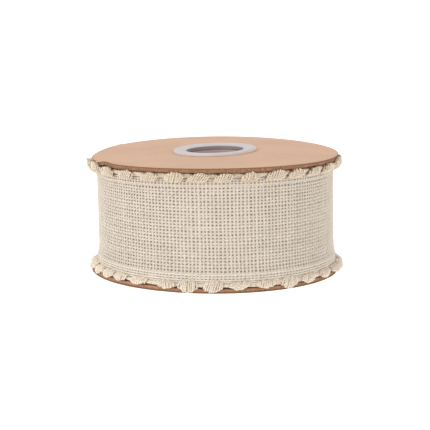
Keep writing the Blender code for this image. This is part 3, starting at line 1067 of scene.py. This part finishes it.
def loop_points(edge, spread_out, lean, reach, depth, opening, turn, over):
    """One loop of yarn: along the edge from its puff's middle, across the ribbon, and out of it.

    It leaves the edge, runs down to its round end and comes back up. spread_out is how far to a side it
    lies, and lean how far its end leans. reach is how far down the puff it comes and depth how far out it
    lies, both as shares. Its legs are twice the opening apart at its end, side by side where turn is 0.
    """
    straight = reach - opening / LEG_LENGTH
    down = np.linspace(0, straight, 5)[:-1]
    round_end = np.linspace(0, math.pi, 6)
    share = np.concatenate([down, straight + np.sin(round_end) * opening / LEG_LENGTH, down[::-1]])
    widening = np.interp(down, (0.0, straight), (0.55, 1.0))
    apart = np.concatenate([widening, np.cos(round_end), -widening[::-1]]) * opening
    stations, outs, heights, widths = np.transpose(edge.leg)
    along = spread_out * np.interp(share, stations, widths) + lean * (share - 0.4) + apart * math.cos(turn)
    out = (np.interp(share, stations, outs) + 0.15 * over * share) * depth * MM + apart * math.sin(turn)
    height = (np.interp(share, stations, heights) + over * (0.6 - 1.6 * share)) * MM
    return joined(along, edge.level(height), out)


def thinned(count):
    """How thick a loop's yarn is at each of its points: it is drawn thinner towards its two ends."""
    return np.sin(np.linspace(0.12, 0.88, count) * math.pi) ** 0.6


def add_puff(lines, edge, place, lean, over, kind, chance):
    """A puff of loops that spread out from its root, over rows of deeper ones that fill it."""
    count, edge_on, opening, widened, deepened = kind
    pressed = max(-MOST_TURNED, min(MOST_TURNED, (place + 180) % 360 - 180))
    half = PUFF_HALF_WIDTH * chance.uniform(0.94, 1.05) * widened
    for fewer, depth, width, thickness in edge.rows:
        loops = max(2, count - fewer)
        for loop in range(loops):
            side = (loop + 0.5) / loops * 2 - 1
            spread_out = side * (half * width - 0.3 * opening * MM)
            reach = (1 - 0.3 * side**2) * (0.8 + 0.2 * depth) * chance.uniform(0.95, 1.03)
            domed = depth * deepened * math.sqrt(1 - 0.6 * side**2)
            turn = math.radians(edge_on + pressed + chance.uniform(-10, 10))
            wide = opening * chance.uniform(0.85, 1.15) * MM
            points = loop_points(edge, spread_out, lean, reach, domed, wide, turn, over)
            jitter = np.array([[chance.gauss(0, 0.035) * MM for _ in range(3)] for _ in points])
            tone = chance.uniform(*edge.loop_tone_and_light) * (FILLING_TONE_SHADED if fewer else 1.0)
            shifted = points + jitter + (puff_along(place), 0.0, 0.0)
            lines.add(shifted, thickness * thinned(len(points)) * chance.uniform(0.95, 1.12), tone)


# Where a link's yarns come out of its puffs: how far out and how far from the board, in mm, and how far
# along from a puff's middle
LINK_ROOT = (0.45, 2.1)
LINK_START = 0.7 * MM

# The widest gap between puffs that a link spans, in puff spacings
LINK_SPAN = 1.6


def add_link(lines, edge, before, after, chance):
    """The bundle that lies along the edge between two puffs."""
    share = np.linspace(0, 1, 7)
    start, end = before + LINK_START, after - LINK_START
    bulge = np.sin(share * math.pi) ** 0.45
    for out, height, thickness in edge.link:
        away = (LINK_ROOT[0] + (out - LINK_ROOT[0]) * bulge + chance.uniform(-0.08, 0.08)) * MM
        near = (LINK_ROOT[1] + (height - LINK_ROOT[1]) * bulge + chance.uniform(-0.08, 0.08)) * MM
        points = joined(start + (end - start) * share, edge.level(near), away)
        lines.add(points, thickness, chance.uniform(*edge.link_tone_and_light))


def fringe_lines(edge, chance):
    """Every puff of loops along one edge, and the bundles that link them."""
    lines = Lines()
    puffs = puff_places(edge, chance)
    for place, lean, over, kind in puffs:
        add_puff(lines, edge, place, lean, over, kind, chance)
    places = sorted(puff_along(puff[0]) for puff in puffs)
    for before, after in zip(places, places[1:]):
        if after - before < LINK_SPAN * math.radians(PUFF_SPACING) * ROLL_RADIUS:
            add_link(lines, edge, before, after, chance)
    return lines


class RIBBON_OT_fringe(bpy.types.Operator):
    """Loop the fringe along both edges"""

    bl_idname = "ribbon.fringe"
    bl_label = "Fringe"

    def execute(self, context):
        settings = context.scene.ribbon_fringe
        finish = yarn_material("fringe_yarn", settings.yarn, settings.pale, 0.1)
        for edge in EDGES:
            lines = fringe_lines(edge, random.Random(edge.seed))
            values = {"Radius": settings.ply_radius, "Twist length": settings.twist}
            values.update({"Seed": float(edge.seed), "Material": finish})
            lines.spin(edge.name + "_fringe", "fringe_yarn", [edge.node], FRINGE_YARN, values)
        return {"FINISHED"}


# The fringe of the turns inside: of how many turns, how far from the board, in mm, and in how many points
INNER_TURNS = 4
INNER_HEIGHTS = (0.75, 1.75)
INNER_POINTS = 180


def inner_fringe_lines(edge, chance):
    """Two thick yarns for each of the next turns, that run along one board."""
    lines = Lines()
    along = np.linspace(TURN_START, ONE_TURN, INNER_POINTS)
    for turn in range(1, INNER_TURNS + 1):
        for height in INNER_HEIGHTS:
            near = height + np.array([chance.uniform(-0.15, 0.15) for _ in along])
            lines.add(joined(along, edge.level(near * MM), -TURN_THICKNESS * turn))
    return lines


class RIBBON_OT_inner_fringe(bpy.types.Operator):
    """Pack the fringe of the turns inside between the cloth and the boards"""

    bl_idname = "ribbon.inner_fringe"
    bl_label = "Inner fringe"

    def execute(self, context):
        settings = context.scene.ribbon_fringe
        # The inner fringe's warm colour is painted reflection of the boards in the shade between them
        finish = yarn_material("inner_fringe_yarn", settings.shaded, settings.shaded, 0.0)
        for edge in EDGES:
            lines = inner_fringe_lines(edge, random.Random(31 + edge.upper))
            values = {"Seed": 31.0 + edge.upper, "Material": finish}
            lines.spin(edge.name + "_inner_fringe", "fringe_yarn", [], INNER_YARN, values)
        return {"FINISHED"}


class RIBBON_OT_stage(bpy.types.Operator):
    """Make the floor, the lights and the camera"""

    bl_idname = "ribbon.stage"
    bl_label = "Stage"

    def execute(self, context):
        settings = context.scene.ribbon_stage
        make_floor(settings)
        make_lights(settings)
        make_camera()
        return {"FINISHED"}


def make_floor(settings):
    half = FLOOR_HALF_WIDTH
    corners = [(-half, -half, 0), (half, -half, 0), (half, half, 0), (-half, half, 0)]
    floor = add_object("floor", quad_mesh("floor", np.array(corners), np.arange(4)))
    fixed = {"Roughness": 0.8, "Emission Color": (1.0, 1.0, 1.0, 1.0), "Emission Strength": FLOOR_GLOW}
    made, b, shader = new_material("floor", fixed)
    place = b.node("ShaderNodeTexCoord").outputs["Object"]
    b.feed(shader.inputs["Base Color"], mottled(b, noise_field(b, place, 3.0), settings.floor, 0.99, 1.0))
    floor.data.materials.append(made)


def add_sun(name, place, strength, angle):
    """Soft light from far away, out of the direction of a place."""
    light = bpy.data.lights.new(name, "SUN")
    light.energy = strength
    light.angle = math.radians(angle)
    made = add_object(name, light)
    made.matrix_world = (-Vector(place)).to_track_quat("-Z", "Y").to_matrix().to_4x4()


def make_lights(settings):
    world = bpy.data.worlds.new("soft_room")
    world.use_nodes = True
    background = world.node_tree.nodes["Background"]
    background.inputs["Color"].default_value = ROOM_COLOUR
    background.inputs["Strength"].default_value = ROOM_LIGHT * settings.light
    bpy.context.scene.world = world
    for name, (place, strength, angle) in SUNS.items():
        add_sun(name, place, strength * settings.light, angle)
    bpy.context.scene.view_settings.view_transform = "Standard"


def make_camera():
    data = bpy.data.cameras.new("camera")
    data.sensor_width = 36.0
    data.lens = CAMERA_LENS
    camera = add_object("camera", data)
    turn = Matrix.Rotation(math.pi / 2 - CAMERA_PITCH, 4, "X")
    camera.matrix_world = Matrix.Translation(CAMERA_PLACE) @ turn
    bpy.context.scene.camera = camera


class RIBBON_PT_panel(bpy.types.Panel):
    """The sidebar's list of the pieces"""

    bl_idname = "RIBBON_PT_panel"
    bl_label = "Fringed ribbon"
    bl_space_type = "VIEW_3D"
    bl_region_type = "UI"
    bl_category = "Ribbon"

    def draw(self, context):
        for operator in OPERATORS:
            self.layout.operator(operator.bl_idname)
        for name in SETTINGS:
            group = getattr(context.scene, name)
            box = self.layout.box()
            for key in group.__annotations__:
                box.prop(group, key)


SETTINGS = {
    "ribbon_boards": BoardSettings,
    "ribbon_hub": HubSettings,
    "ribbon_cloth": RibbonSettings,
    "ribbon_fringe": FringeSettings,
    "ribbon_stage": StageSettings,
}
OPERATORS = (
    RIBBON_OT_boards,
    RIBBON_OT_hub,
    RIBBON_OT_wound_cloth,
    RIBBON_OT_field,
    RIBBON_OT_selvages,
    RIBBON_OT_fringe,
    RIBBON_OT_inner_fringe,
    RIBBON_OT_stage,
)


def register():
    for group in (*SETTINGS.values(), *OPERATORS, RIBBON_PT_panel):
        bpy.utils.register_class(group)
    for name, group in SETTINGS.items():
        setattr(bpy.types.Scene, name, PointerProperty(type=group))


def unregister():
    for name in SETTINGS:
        delattr(bpy.types.Scene, name)
    for group in (RIBBON_PT_panel, *reversed(OPERATORS), *SETTINGS.values()):
        bpy.utils.unregister_class(group)


def main():
    register()
    for operator in OPERATORS:
        family, name = operator.bl_idname.split(".")
        getattr(getattr(bpy.ops, family), name)()
    bpy.data.objects.remove(bpy.data.objects["guide"])


if __name__ == "__main__":
    main()
